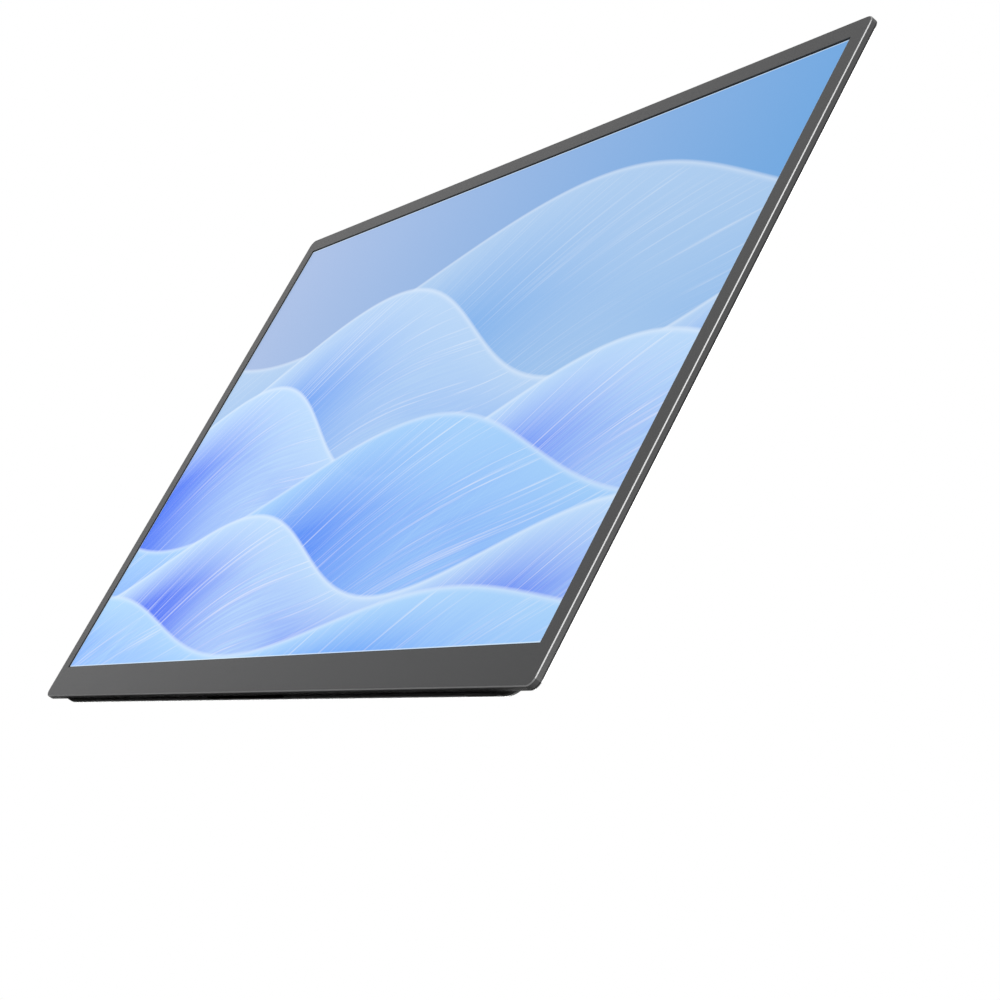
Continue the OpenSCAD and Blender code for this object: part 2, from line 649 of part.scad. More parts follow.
// A socket with a rounded shell, a back and a tongue; its mouth faces +X
module port(up, w) color("#bfc1c4") place()
    translate([port_in_x, up, port_d]) rotate([0, 90, 0]) rotate([0, 0, 90]) {
    difference() {
        round_slot(w, port_h, port_l);
        translate([0, 0, 1]) round_slot(w - 2 * port_shell, port_h - 2 * port_shell, port_l);
    }
    translate([-w / 2 + 1.2, -0.35, 1 - 0.1]) cube([w - 2.4, 0.7, port_l - 2]);
}

module mini_hdmi_port() port(hdmi_up, hdmi_w);
module usb_c_port_lower() port(usb_low_up, usb_w);
module usb_c_port_upper() port(usb_high_up, usb_w);

module speaker() color("#303034") place() difference() {
    block([speaker_in_x, bay_low + 0.3, panel_t + 0.1],
          [speaker_in_x + speaker_l, bay_low + 0.3 + speaker_w, bay_top_d - 0.1]);
    translate([speaker_in_x + speaker_l / 2, bay_low + 0.3 + speaker_w / 2, bay_top_d - 0.25])
        round_slot(speaker_l - 8, speaker_w - 4, cut);
}

// The rubber feet let into the bottom, flush with it
module foot_pocket(x) translate([x, -cut, foot_d]) rotate([-90, 0, 0])
    round_slot(foot_l + 2 * fit, foot_w + 2 * fit, cut + foot_deep);

module rubber_feet() color("#151516") place() for (x = [-1, 1] * foot_x)
    translate([x, 0, foot_d]) rotate([-90, 0, 0]) round_slot(foot_l, foot_w, foot_deep - 0.05);

module power_key() color("#d0d0d2") place() on_side(-1) difference() {
    union() {
        block([key_flange_x - fit, key_up - key_l / 2, key_d - key_w / 2],
              [side_x + key_proud, key_up + key_l / 2, key_d + key_w / 2]);
        block([key_flange_x - key_flange_t, key_up - key_l / 2 - 0.3, key_d - key_w / 2 - 0.1],
              [key_flange_x, key_up + key_l / 2 + 0.3, key_d + key_w / 2 + 0.1]);
    }
    // grip grooves across the key's face
    for (i = [1 : key_grooves])
        translate([side_x + key_proud, key_up - key_l / 2 + i * key_l / (key_grooves + 1), 0])
            rotate([0, 0, 45]) block([-0.12, -0.12, key_d - key_w], [0.12, 0.12, key_d + key_w]);
}

module power_key_space() on_side(-1) {
    block([key_flange_x - cut, key_up - key_l / 2 - key_gap, key_d - key_w / 2 - key_gap],
          [side_x + cut, key_up + key_l / 2 + key_gap, key_d + key_w / 2 + key_gap]);
    block([base_out_x, key_up - key_l / 2 - 0.5, panel_t - cut],
          [side_x - housing_wall, key_up + key_l / 2 + 0.45, key_d + key_w / 2 + 0.2]);
}

module power_switch() color("#4a4a4e") place() on_side(-1)
    block([switch_x - 1.2, key_up - 1.5, key_d - key_w / 2 + 0.05],
          [switch_x, key_up + 1.5, key_d + key_w / 2 - 0.05]);

module key_board() color(board_green) place() on_side(-1)
    block([base_in_x + 0.4, base_low + 0.3, panel_t + 0.05],
          [switch_x - 0.1, base_high - 0.3, key_d - key_w / 2 + 0.05]);

// The rocker tips about a pin through its stem
module menu_rocker() color("#2c2c2e") place() difference() {
    union() {
        block([side_x - 1.5, rocker_up - rocker_l / 2, rocker_d - key_w / 2],
              [side_x + key_proud, rocker_up + rocker_l / 2, rocker_d + key_w / 2]);
        block([rocker_pivot_x - 0.8, rocker_up - 1.2, rocker_d - key_w / 2],
              [side_x - 1.4, rocker_up + 1.2, rocker_d + key_w / 2]);
    }
    translate([rocker_pivot_x, rocker_up, rocker_d - key_w])
        cylinder(r = rocker_pin_r + pin_clear, h = 2 * key_w);
    // a shallow dish at the middle parts the two ends
    translate([side_x + key_proud + 3, rocker_up, rocker_d - key_w]) cylinder(r = 3.1, h = 2 * key_w);
}

module rocker_space() {
    block([side_x - 2, rocker_up - rocker_l / 2 - rocker_gap, rocker_d - key_w / 2 - key_gap],
          [side_x + cut, rocker_up + rocker_l / 2 + rocker_gap, rocker_d + key_w / 2 + key_gap]);
    block([rocker_pocket_x - 0.6, rocker_up - rocker_l / 2 - 0.3, panel_t - cut],
          [side_x - housing_wall, rocker_up + rocker_l / 2 + 0.3, rocker_d + key_w / 2 + 0.5]);
}

module rocker_pin() color("#b8b8ba") place()
    translate([rocker_pivot_x, rocker_up, rocker_d - key_w / 2 - key_gap - cheek_t])
        cylinder(r = rocker_pin_r, h = key_w + 2 * key_gap + 2 * cheek_t);

module rocker_bracket() color(steel) place() difference() {
    block([rocker_pocket_x, rocker_up - 1.4, rocker_d - key_w / 2 - key_gap - cheek_t],
          [rocker_pivot_x + 0.6, rocker_up + 1.4, rocker_d + key_w / 2 + key_gap + cheek_t]);
    block([rocker_pocket_x + 0.5, rocker_up - 2, rocker_d - key_w / 2 - key_gap],
          [side_x, rocker_up + 2, rocker_d + key_w / 2 + key_gap]);
    translate([rocker_pivot_x, rocker_up, rocker_d - 2 * key_w])
        cylinder(r = rocker_pin_r + 0.01, h = 4 * key_w);
}

module rocker_board() color(board_green) place()
    block([rocker_pocket_x - 0.5, rocker_up - rocker_l / 2, panel_t + 0.05],
          [rocker_pocket_x, rocker_up + rocker_l / 2, rocker_d + key_w / 2 + 0.35]);

module rocker_switches() color("#4a4a4e") place() for (s = [-1, 1])
    translate([rocker_pocket_x, rocker_up + s * (rocker_l / 2 - 1) - 0.8, rocker_d - key_w / 2 + 0.05])
        cube([side_x - 1.8 - rocker_pocket_x, 1.6, key_w - 0.1]);

front_bezel();
display_glass();
backlight_unit();
back_shell();
rear_housing();
main_board();
board_chips();
driver_board();
ribbon_cable();
ribbon_sockets();
panel_flex();
usb_c_port_lower();
usb_c_port_upper();
mini_hdmi_port();
on_side(-1) speaker();  // speaker_left
speaker();  // speaker_right
on_side(-1) hinge_base();  // hinge_base_left
hinge_base();  // hinge_base_right
on_side(-1) hinge_pin();  // hinge_pin_left
hinge_pin();  // hinge_pin_right
hinge_base_screws();
housing_screws();
board_screws();
rubber_feet();
gap_pads();
keeper_plates();
key_board();
power_switch();
rocker_board();
rocker_switches();
rocker_bracket();
rocker_pin();
stand_plate();
on_side(-1) hinge_leaf();  // hinge_leaf_left
hinge_leaf();  // hinge_leaf_right
leaf_screws();
stand_magnets();
power_key();
menu_rocker();
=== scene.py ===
import math

import bmesh
import bpy
from mathutils import Matrix, Vector


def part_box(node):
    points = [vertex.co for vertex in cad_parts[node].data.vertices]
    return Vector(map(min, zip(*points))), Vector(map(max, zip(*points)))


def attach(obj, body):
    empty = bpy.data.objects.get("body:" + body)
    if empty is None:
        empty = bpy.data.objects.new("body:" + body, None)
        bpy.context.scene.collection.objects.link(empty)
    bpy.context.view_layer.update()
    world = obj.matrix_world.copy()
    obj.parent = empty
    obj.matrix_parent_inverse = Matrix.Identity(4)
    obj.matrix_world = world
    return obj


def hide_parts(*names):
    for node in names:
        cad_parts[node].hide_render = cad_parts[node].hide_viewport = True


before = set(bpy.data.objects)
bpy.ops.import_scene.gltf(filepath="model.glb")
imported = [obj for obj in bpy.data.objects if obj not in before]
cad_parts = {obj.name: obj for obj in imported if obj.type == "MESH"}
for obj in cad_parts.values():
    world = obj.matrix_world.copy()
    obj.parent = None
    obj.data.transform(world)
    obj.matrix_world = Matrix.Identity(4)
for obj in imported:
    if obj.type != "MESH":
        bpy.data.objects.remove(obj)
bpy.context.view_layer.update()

# Camera
# It stands to the right of the screen and a little in front of it, below its lower edge,
# and looks up along the screen, turned so that the long edges climb to the right.
camera_right = Vector((0.4956, 0.7468, 0.4434))
camera_up = Vector((0.0787, -0.5470, 0.8334))
camera_back = Vector((0.8650, -0.3782, -0.3299))
camera_place = Vector((0.6726, -0.2489, -0.1540))
camera_data = bpy.data.cameras.new("camera")
camera_data.sensor_width = 36
camera_data.lens = 84.75
camera_data.clip_start = 0.01
camera = bpy.data.objects.new("camera", camera_data)
bpy.context.scene.collection.objects.link(camera)
camera.matrix_world = Matrix((
    (camera_right.x, camera_up.x, camera_back.x, camera_place.x),
    (camera_right.y, camera_up.y, camera_back.y, camera_place.y),
    (camera_right.z, camera_up.z, camera_back.z, camera_place.z),
    (0, 0, 0, 1),
))
bpy.context.scene.camera = camera

# Studio
# A pale floor, a white surround, two soft lamps and two low strips. The surround is white to
# the eye, to gloss and to glass, and softer as a light. The floor is clear from below, where
# the camera is.
bpy.context.scene.view_settings.view_transform = "Standard"


def wire(tree, made, **links):
    """Sets a node's sockets by name: a plain value, or the socket that feeds it."""
    for name, value in links.items():
        socket = made.inputs[name.replace("_", " ")]
        if isinstance(value, bpy.types.NodeSocket):
            tree.links.new(value, socket)
        else:
            socket.default_value = value
    return made


def maths(tree, operation, *values, clamp=False):
    """A Math node on plain values or sockets. Gives its output socket."""
    made = tree.nodes.new("ShaderNodeMath")
    made.operation = operation
    made.use_clamp = clamp
    for socket, value in zip(made.inputs, values):
        if isinstance(value, bpy.types.NodeSocket):
            tree.links.new(value, socket)
        else:
            socket.default_value = value
    return made.outputs[0]


world = bpy.data.worlds.new("surround")
world.use_nodes = True
bpy.context.scene.world = world
tree = world.node_tree
ray = tree.nodes.new("ShaderNodeLightPath")
seen = maths(tree, "MAXIMUM", ray.outputs["Is Camera Ray"], ray.outputs["Is Glossy Ray"])
seen = maths(tree, "MAXIMUM", seen, ray.outputs["Is Transmission Ray"])
surround_light = 0.65
strength = maths(tree, "MULTIPLY_ADD", seen, 1 - surround_light, surround_light)
wire(tree, tree.nodes["Background"], Color=(1, 1, 1, 1), Strength=strength)

floor_reach = 3.0
floor_level = -0.0004
floor_mesh = bpy.data.meshes.new("floor")
floor_mesh.from_pydata(
    [(-floor_reach, -floor_reach, floor_level), (floor_reach, -floor_reach, floor_level),
     (floor_reach, floor_reach, floor_level), (-floor_reach, floor_reach, floor_level)],
    [], [(0, 1, 2, 3)])
floor = bpy.data.objects.new("floor", floor_mesh)
bpy.context.scene.collection.objects.link(floor)

floor_paint = bpy.data.materials.new("floor_paint")
floor_paint.use_nodes = True
tree = floor_paint.node_tree
place = tree.nodes.new("ShaderNodeTexCoord")
length = tree.nodes.new("ShaderNodeVectorMath")
length.operation = "LENGTH"
tree.links.new(place.outputs["Object"], length.inputs[0])
fade_per_metre = 2.2
fade_start = -0.75
far = maths(tree, "MULTIPLY_ADD", length.outputs["Value"], fade_per_metre, fade_start, clamp=True)
matt = tree.nodes["Principled BSDF"]
wire(tree, matt, Base_Color=(0.86, 0.86, 0.86, 1), Roughness=0.9)
glow = wire(tree, tree.nodes.new("ShaderNodeEmission"), Color=(1, 1, 1, 1))
clear = tree.nodes.new("ShaderNodeBsdfTransparent")
fade = tree.nodes.new("ShaderNodeMixShader")
tree.links.new(far, fade.inputs[0])
tree.links.new(matt.outputs[0], fade.inputs[1])
tree.links.new(glow.outputs[0], fade.inputs[2])
side = tree.nodes.new("ShaderNodeNewGeometry")
below = tree.nodes.new("ShaderNodeMixShader")
tree.links.new(side.outputs["Backfacing"], below.inputs[0])
tree.links.new(fade.outputs[0], below.inputs[1])
tree.links.new(clear.outputs[0], below.inputs[2])
tree.links.new(below.outputs[0], tree.nodes["Material Output"].inputs["Surface"])
floor_mesh.materials.append(floor_paint)

for name, at, aim, wide, high, power in (
        ("front_lamp", (0.45, -1.05, 0.55), (0, 0, 0.1), 0.9, 0.9, 6.5),
        ("rear_lamp", (-0.45, 1.05, 0.55), (0, 0, 0.1), 0.8, 0.8, 6.5),
        ("right_strip", (1.11, 0.45, 0.15), (0.1, 0, 0.1), 0.75, 0.25, 5),
        ("left_strip", (-1.11, 0.5, 0.15), (-0.1, 0, 0.1), 0.75, 0.25, 2.5)):
    lamp = bpy.data.lights.new(name, "AREA")
    lamp.shape = "RECTANGLE"
    lamp.size = wide
    lamp.size_y = high
    lamp.energy = power
    hung = bpy.data.objects.new(name, lamp)
    bpy.context.scene.collection.objects.link(hung)
    hung.location = at
    hung.rotation_euler = (Vector(aim) - Vector(at)).to_track_quat("-Z", "Y").to_euler()

# Front bezel
# A thin moulded frame in dark grey satin paint, bevelled along its outer edge, that wraps
# round the display and stops a hair short of the back shell. Its bevel carries a painted
# highlight, and its sides a paler tone as painted light.


def fine_grain_group():
    """Moulded or sprayed grain: an uneven roughness and a faint relief, on Object coordinates."""
    tree = bpy.data.node_groups.new("fine_grain", "ShaderNodeTree")
    for name, kind in (("Vector", "NodeSocketVector"), ("Scale", "NodeSocketFloat"),
                       ("Roughness", "NodeSocketFloat"), ("Spread", "NodeSocketFloat"),
                       ("Relief", "NodeSocketFloat")):
        tree.interface.new_socket(name, in_out="INPUT", socket_type=kind)
    for name, kind in (("Roughness", "NodeSocketFloat"), ("Normal", "NodeSocketVector"),
                       ("Cloud", "NodeSocketFloat")):
        tree.interface.new_socket(name, in_out="OUTPUT", socket_type=kind)
    given = tree.nodes.new("NodeGroupInput").outputs
    grain = wire(tree, tree.nodes.new("ShaderNodeTexNoise"), Vector=given["Vector"],
                 Scale=given["Scale"], Detail=3.0, Roughness=0.6)
    cloud_scale = 14.0
    cloud = wire(tree, tree.nodes.new("ShaderNodeTexNoise"), Vector=given["Vector"],
                 Scale=cloud_scale, Detail=4.0, Roughness=0.55)
    grain_share, cloud_share = 0.6, 0.4
    both = maths(tree, "ADD", maths(tree, "MULTIPLY", grain.outputs["Fac"], grain_share),
                 maths(tree, "MULTIPLY", cloud.outputs["Fac"], cloud_share))
    rough = maths(tree, "MULTIPLY_ADD", maths(tree, "SUBTRACT", both, 0.5), given["Spread"],
                  given["Roughness"])
    grain_depth = 0.0001
    relief = wire(tree, tree.nodes.new("ShaderNodeBump"), Strength=given["Relief"],
                  Distance=grain_depth, Height=grain.outputs["Fac"])
    put = tree.nodes.new("NodeGroupOutput").inputs
    tree.links.new(rough, put["Roughness"])
    tree.links.new(relief.outputs["Normal"], put["Normal"])
    tree.links.new(cloud.outputs["Fac"], put["Cloud"])
    return tree


fine_grain = fine_grain_group()


def finish_paint(name, dark, light, rough, spread, relief, scale, metallic=0.0, gloss=0.5):
    """A paint, plating or moulding: two near tones in soft clouds, under the fine grain."""
    made = bpy.data.materials.new(name)
    made.use_nodes = True
    tree = made.node_tree
    place = tree.nodes.new("ShaderNodeTexCoord")
    grain = tree.nodes.new("ShaderNodeGroup")
    grain.node_tree = fine_grain
    wire(tree, grain, Vector=place.outputs["Object"], Scale=scale, Roughness=rough,
         Spread=spread, Relief=relief)
    tone = tree.nodes.new("ShaderNodeMix")
    tone.data_type = "RGBA"
    tree.links.new(grain.outputs["Cloud"], tone.inputs[0])
    tone.inputs[6].default_value = (*dark, 1)
    tone.inputs[7].default_value = (*light, 1)
    body = tree.nodes["Principled BSDF"]
    wire(tree, body, Base_Color=tone.outputs[2], Roughness=grain.outputs["Roughness"],
         Normal=grain.outputs["Normal"], Metallic=metallic, Specular_IOR_Level=gloss)
    return made


def paint_chamfer_highlight(material, highlight_tone, side):
    """Painted highlight: the slopes between front, sides and back take a lighter metallic tone,
    and the sides get a paler tone as painted light.
    """
    tree = material.node_tree
    body = tree.nodes["Principled BSDF"]
    place = tree.nodes.new("ShaderNodeTexCoord")
    split = tree.nodes.new("ShaderNodeSeparateXYZ")
    tree.links.new(place.outputs["Normal"], split.inputs[0])
    slope_from, slope_to = 0.25, 0.96
    slope = maths(tree, "ABSOLUTE", split.outputs["Y"])
    # Painted highlight: the chamfer slopes get the lighter tone and turn metallic.
    chamfer_faces = maths(tree, "MULTIPLY", maths(tree, "GREATER_THAN", slope, slope_from),
                maths(tree, "LESS_THAN", slope, slope_to))
    # Painted light: the upright sides get a paler tone.
    painted_side_light = maths(tree, "MULTIPLY", maths(tree, "LESS_THAN", slope, slope_from), side)
    tone = tree.nodes.new("ShaderNodeMix")
    tone.data_type = "RGBA"
    tree.links.new(maths(tree, "MAXIMUM", chamfer_faces, painted_side_light), tone.inputs[0])
    tree.links.new(body.inputs["Base Color"].links[0].from_socket, tone.inputs[6])
    tone.inputs[7].default_value = (highlight_tone, highlight_tone, highlight_tone, 1)
    wire(tree, body, Base_Color=tone.outputs[2], Metallic=chamfer_faces)
    return material


cad_corner = 0.006
real_corner = 0.003
corner_wall = 0.0013
merge_within = 0.000001


def tighter_corners(node, piece_name, material):
    """A copy of a panel node, its four corners drawn out from the CAD's radius to the real one."""
    low, high = (Vector(corner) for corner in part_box(node))
    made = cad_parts[node].data.copy()
    shape = bmesh.new()
    shape.from_mesh(made)
    bmesh.ops.remove_doubles(shape, verts=shape.verts, dist=merge_within)
    for point in shape.verts:
        side = 1 if point.co.x > 0 else -1
        end = 1 if point.co.z > (low.z + high.z) / 2 else -1
        centre_x = high.x - cad_corner
        centre_z = high.z - cad_corner if end > 0 else low.z + cad_corner
        along = side * point.co.x - centre_x
        up = end * (point.co.z - centre_z)
        reach = math.hypot(along, up)
        if along <= 0 or up <= 0 or reach < cad_corner - corner_wall:
            continue
        inner = cad_corner - real_corner
        turn_x, turn_z = along / reach, up / reach
        if turn_z * reach <= inner * turn_x:
            out = reach / turn_x
        elif turn_x * reach <= inner * turn_z:
            out = reach / turn_z
        else:
            radius = reach - inner
            middle = inner * (turn_x + turn_z)
            out = middle + math.sqrt(max(middle ** 2 - 2 * inner ** 2 + radius ** 2, 0))
        point.co.x = side * (centre_x + turn_x * out)
        point.co.z = centre_z + end * turn_z * out
    for face in shape.faces:
        face.smooth = False
    shape.to_mesh(made)
    shape.free()
    if "custom_normal" in made.attributes:
        made.attributes.remove(made.attributes["custom_normal"])
    made.materials.clear()
    made.materials.append(material)
    piece = bpy.data.objects.new(piece_name, made)
    bpy.context.scene.collection.objects.link(piece)
    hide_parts(node)
    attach(piece, "monitor")


bezel_satin = finish_paint("bezel_satin", (0.018, 0.018, 0.0185), (0.025, 0.025, 0.026),
                           rough=0.36, spread=0.12, relief=0.2, scale=5200, gloss=0.2)
# Painted highlight on the bevels and a painted paler tone on the sides, over the satin paint.
tighter_corners("front_bezel", "bezel_frame",
                paint_chamfer_highlight(bezel_satin, highlight_tone=0.30, side=0.12))

# Display glass
# The anti-glare glass in front of the lit picture, black where the bezel's window shows its
# border. The picture is a generic one of overlapping waves, lit from behind, with a thin
# brighter line along its edges.
picture_w = 0.3442
picture_h = 0.1936
picture_low = 0.0129


def dress(material, *nodes):
    """Gives CAD nodes their material."""
    for node in nodes:
        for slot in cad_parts[node].material_slots:
            slot.material = material


def wave_group():
    """One wave laid over a picture: a white rim, pale under it, veined and deeper below."""
    tree = bpy.data.node_groups.new("wave", "ShaderNodeTree")
    for name, kind in (("Under", "NodeSocketColor"), ("Along", "NodeSocketFloat"),
                       ("Up", "NodeSocketFloat"), ("Height", "NodeSocketFloat"),
                       ("Swing", "NodeSocketFloat"), ("Turns", "NodeSocketFloat"),
                       ("Shift", "NodeSocketFloat"), ("Depth", "NodeSocketFloat"),
                       ("Crest", "NodeSocketColor"), ("Body", "NodeSocketColor"),
                       ("Cover", "NodeSocketFloat"), ("Silk", "NodeSocketFloat")):
        tree.interface.new_socket(name, in_out="INPUT", socket_type=kind)
    tree.interface.new_socket("Color", in_out="OUTPUT", socket_type="NodeSocketColor")
    given = tree.nodes.new("NodeGroupInput").outputs
    turn = maths(tree, "MULTIPLY_ADD", given["Along"], given["Turns"], given["Shift"])
    swell = maths(tree, "SINE", turn)
    ripple_turn, ripple_shift, ripple_share = 0.53, 1.1, 0.6
    ripple = maths(tree, "SINE", maths(tree, "MULTIPLY_ADD", turn, ripple_turn, ripple_shift))
    ripple = maths(tree, "MULTIPLY", ripple, ripple_share)
    edge = maths(tree, "ADD", swell, ripple)
    edge = maths(tree, "MULTIPLY_ADD", edge, given["Swing"], given["Height"])
    below = maths(tree, "SUBTRACT", edge, given["Up"])
    edge_sharpness = 260.0
    inside = maths(tree, "MULTIPLY", below, edge_sharpness, clamp=True)
    deep = maths(tree, "DIVIDE", below, given["Depth"], clamp=True)
    streaks = tree.nodes.new("ShaderNodeCombineXYZ")
    vein_lean, veins_across, veins_down = 1.6, 60.0, 2.2
    lean = maths(tree, "MULTIPLY_ADD", below, vein_lean, given["Along"])
    tree.links.new(maths(tree, "MULTIPLY", lean, veins_across), streaks.inputs[0])
    tree.links.new(maths(tree, "MULTIPLY", below, veins_down), streaks.inputs[1])
    tree.links.new(given["Shift"], streaks.inputs[2])
    silk = wire(tree, tree.nodes.new("ShaderNodeTexNoise"), Vector=streaks.outputs[0],
                Scale=2.6, Detail=4.0, Roughness=0.6, Distortion=0.15)
    sheen = maths(tree, "SUBTRACT", silk.outputs["Fac"], 0.5)
    sheen = maths(tree, "MULTIPLY", sheen, given["Silk"])
    shadow_shift, shadow_swing, shadow_mean, shadow_power = 2.1, 0.55, 0.75, 1.15
    slope = maths(tree, "SINE", maths(tree, "ADD", turn, shadow_shift))
    slope = maths(tree, "MULTIPLY_ADD", slope, shadow_swing, shadow_mean)
    fold = maths(tree, "MULTIPLY", maths(tree, "POWER", deep, shadow_power), slope)
    shade = maths(tree, "ADD", fold, maths(tree, "MULTIPLY", sheen, deep), clamp=True)
    colour = tree.nodes.new("ShaderNodeMix")
    colour.data_type = "RGBA"
    tree.links.new(shade, colour.inputs[0])
    tree.links.new(given["Crest"], colour.inputs[6])
    tree.links.new(given["Body"], colour.inputs[7])
    rim_fall, rim_power, rim_strength = -110.0, 1.6, 0.75
    rim = maths(tree, "MULTIPLY_ADD", below, rim_fall, 1.0, clamp=True)
    rim = maths(tree, "MULTIPLY", maths(tree, "POWER", rim, rim_power), rim_strength)
    vein_contrast, vein_start, vein_strength = 5.0, -2.75, 0.85
    vein = maths(tree, "MULTIPLY_ADD", silk.outputs["Fac"], vein_contrast, vein_start, clamp=True)
    vein = maths(tree, "MULTIPLY", vein, maths(tree, "MULTIPLY", given["Silk"], vein_strength))
    rimmed = tree.nodes.new("ShaderNodeMix")
    rimmed.data_type = "RGBA"
    tree.links.new(maths(tree, "MAXIMUM", rim, vein), rimmed.inputs[0])
    tree.links.new(colour.outputs[2], rimmed.inputs[6])
    rimmed.inputs[7].default_value = (0.92, 0.96, 1.0, 1)
    thinning = 0.1
    fall = maths(tree, "SUBTRACT", 1.0, maths(tree, "MULTIPLY", deep, thinning))
    cover = maths(tree, "MULTIPLY", inside, fall)
    cover = maths(tree, "MULTIPLY", cover, given["Cover"], clamp=True)
    laid = tree.nodes.new("ShaderNodeMix")
    laid.data_type = "RGBA"
    tree.links.new(cover, laid.inputs[0])
    tree.links.new(given["Under"], laid.inputs[6])
    tree.links.new(rimmed.outputs[2], laid.inputs[7])
    tree.links.new(laid.outputs[2], tree.nodes.new("NodeGroupOutput").inputs["Color"])
    return tree


wave = wave_group()
glass = bpy.data.materials.new("lit_glass")
glass.use_nodes = True
tree = glass.node_tree
place = tree.nodes.new("ShaderNodeTexCoord")
split = tree.nodes.new("ShaderNodeSeparateXYZ")
tree.links.new(place.outputs["Object"], split.inputs[0])
across = maths(tree, "DIVIDE", split.outputs["X"], picture_w)
upward = maths(tree, "DIVIDE", maths(tree, "SUBTRACT", split.outputs["Z"], picture_low), picture_w)
sky = tree.nodes.new("ShaderNodeMix")
sky.data_type = "RGBA"
tree.links.new(maths(tree, "ADD", across, 0.5, clamp=True), sky.inputs[0])
sky.inputs[6].default_value = (0.33, 0.46, 0.74, 1)
sky.inputs[7].default_value = (0.12, 0.36, 0.74, 1)
picture = sky.outputs[2]
for height, swing, turns, shift, depth, crest, body, cover, silk in (
        (0.430, 0.050, 6.0, 0.4, 0.14, (0.42, 0.62, 0.88), (0.12, 0.38, 0.84), 0.85, 0.5),
        (0.345, 0.060, 7.5, 2.6, 0.11, (0.46, 0.66, 0.92), (0.03, 0.25, 0.88), 0.94, 0.7),
        (0.265, 0.055, 8.5, 4.6, 0.09, (0.48, 0.70, 0.97), (0.001, 0.12, 0.92), 0.97, 0.9),
        (0.185, 0.045, 7.0, 0.9, 0.10, (0.34, 0.62, 0.97), (0.01, 0.20, 0.92), 0.95, 0.8),
        (0.110, 0.040, 9.0, 3.4, 0.075, (0.50, 0.72, 0.98), (0.001, 0.10, 0.90), 0.97, 0.9),
        (0.045, 0.030, 8.0, 5.6, 0.06, (0.40, 0.68, 0.99), (0.02, 0.28, 0.95), 0.94, 0.8)):
    laid = tree.nodes.new("ShaderNodeGroup")
    laid.node_tree = wave
    wire(tree, laid, Under=picture, Along=across, Up=upward, Height=height, Swing=swing,
         Turns=turns, Shift=shift, Depth=depth, Crest=(*crest, 1), Body=(*body, 1),
         Cover=cover, Silk=silk)
    picture = laid.outputs[0]
off_side = maths(tree, "SUBTRACT", maths(tree, "ABSOLUTE", split.outputs["X"]), picture_w / 2)
middle = maths(tree, "SUBTRACT", split.outputs["Z"], picture_low + picture_h / 2)
off_end = maths(tree, "SUBTRACT", maths(tree, "ABSOLUTE", middle), picture_h / 2)
off = maths(tree, "MAXIMUM", off_side, off_end)
lit = maths(tree, "LESS_THAN", off, 0.0)
edge_glow = tree.nodes.new("ShaderNodeMix")
edge_glow.data_type = "RGBA"
edge_line = 0.00035
edge_strength = 0.6
at_edge = maths(tree, "GREATER_THAN", off, -edge_line)
tree.links.new(maths(tree, "MULTIPLY", at_edge, edge_strength), edge_glow.inputs[0])
tree.links.new(picture, edge_glow.inputs[6])
edge_glow.inputs[7].default_value = (0.80, 0.93, 1.0, 1)
shown = tree.nodes.new("ShaderNodeMix")
shown.data_type = "RGBA"
tree.links.new(lit, shown.inputs[0])
shown.inputs[6].default_value = (0.002, 0.002, 0.002, 1)
tree.links.new(edge_glow.outputs[2], shown.inputs[7])
grain = tree.nodes.new("ShaderNodeGroup")
grain.node_tree = fine_grain
wire(tree, grain, Vector=place.outputs["Object"], Scale=9000.0, Roughness=0.3, Spread=0.06,
     Relief=0.05)
wire(tree, tree.nodes["Principled BSDF"], Base_Color=(0.006, 0.007, 0.009, 1),
     Roughness=grain.outputs["Roughness"], Normal=grain.outputs["Normal"],
     Specular_IOR_Level=0.1, Emission_Color=shown.outputs[2], Emission_Strength=0.92)
dress(glass, "display_glass")

# Backlight unit
# White reflector film on a thin tray. It lies behind the glass and isn't seen from outside.
dress(finish_paint("reflector_film", (0.70, 0.70, 0.68), (0.78, 0.78, 0.76),
                   rough=0.5, spread=0.1, relief=0.1, scale=900), "backlight_unit")

# Back shell
# The panel's rear skin, thin and lacquered to a deep gloss, with a painted highlight on its fine
# bevel all round.
# It has the bezel's tight corners.
shell_lacquer = finish_paint("shell_lacquer", (0.0085, 0.0085, 0.009), (0.011, 0.011, 0.0115),
                             rough=0.15, spread=0.05, relief=0.03, scale=2400, gloss=0.2)
# Painted highlight on the bevel and a painted paler tone on the sides, over the gloss lacquer.
tighter_corners("back_shell", "rear_skin",
                paint_chamfer_highlight(shell_lacquer, highlight_tone=0.45, side=0.05))

# Rear housing and stand plate
# Both are sprayed in the same dark satin lacquer, so that the closed plate disappears into
# the housing but for the fine line around it. Below its rear cap the housing is painted
# near black as painted shade, and left matt.
cap_from = 0.00125


def lacquer(name):
    """The dark satin lacquer."""
    return finish_paint(name, (0.014, 0.014, 0.0145), (0.019, 0.019, 0.0195),
                        rough=0.27, spread=0.1, relief=0.15, scale=4300, gloss=0.15)


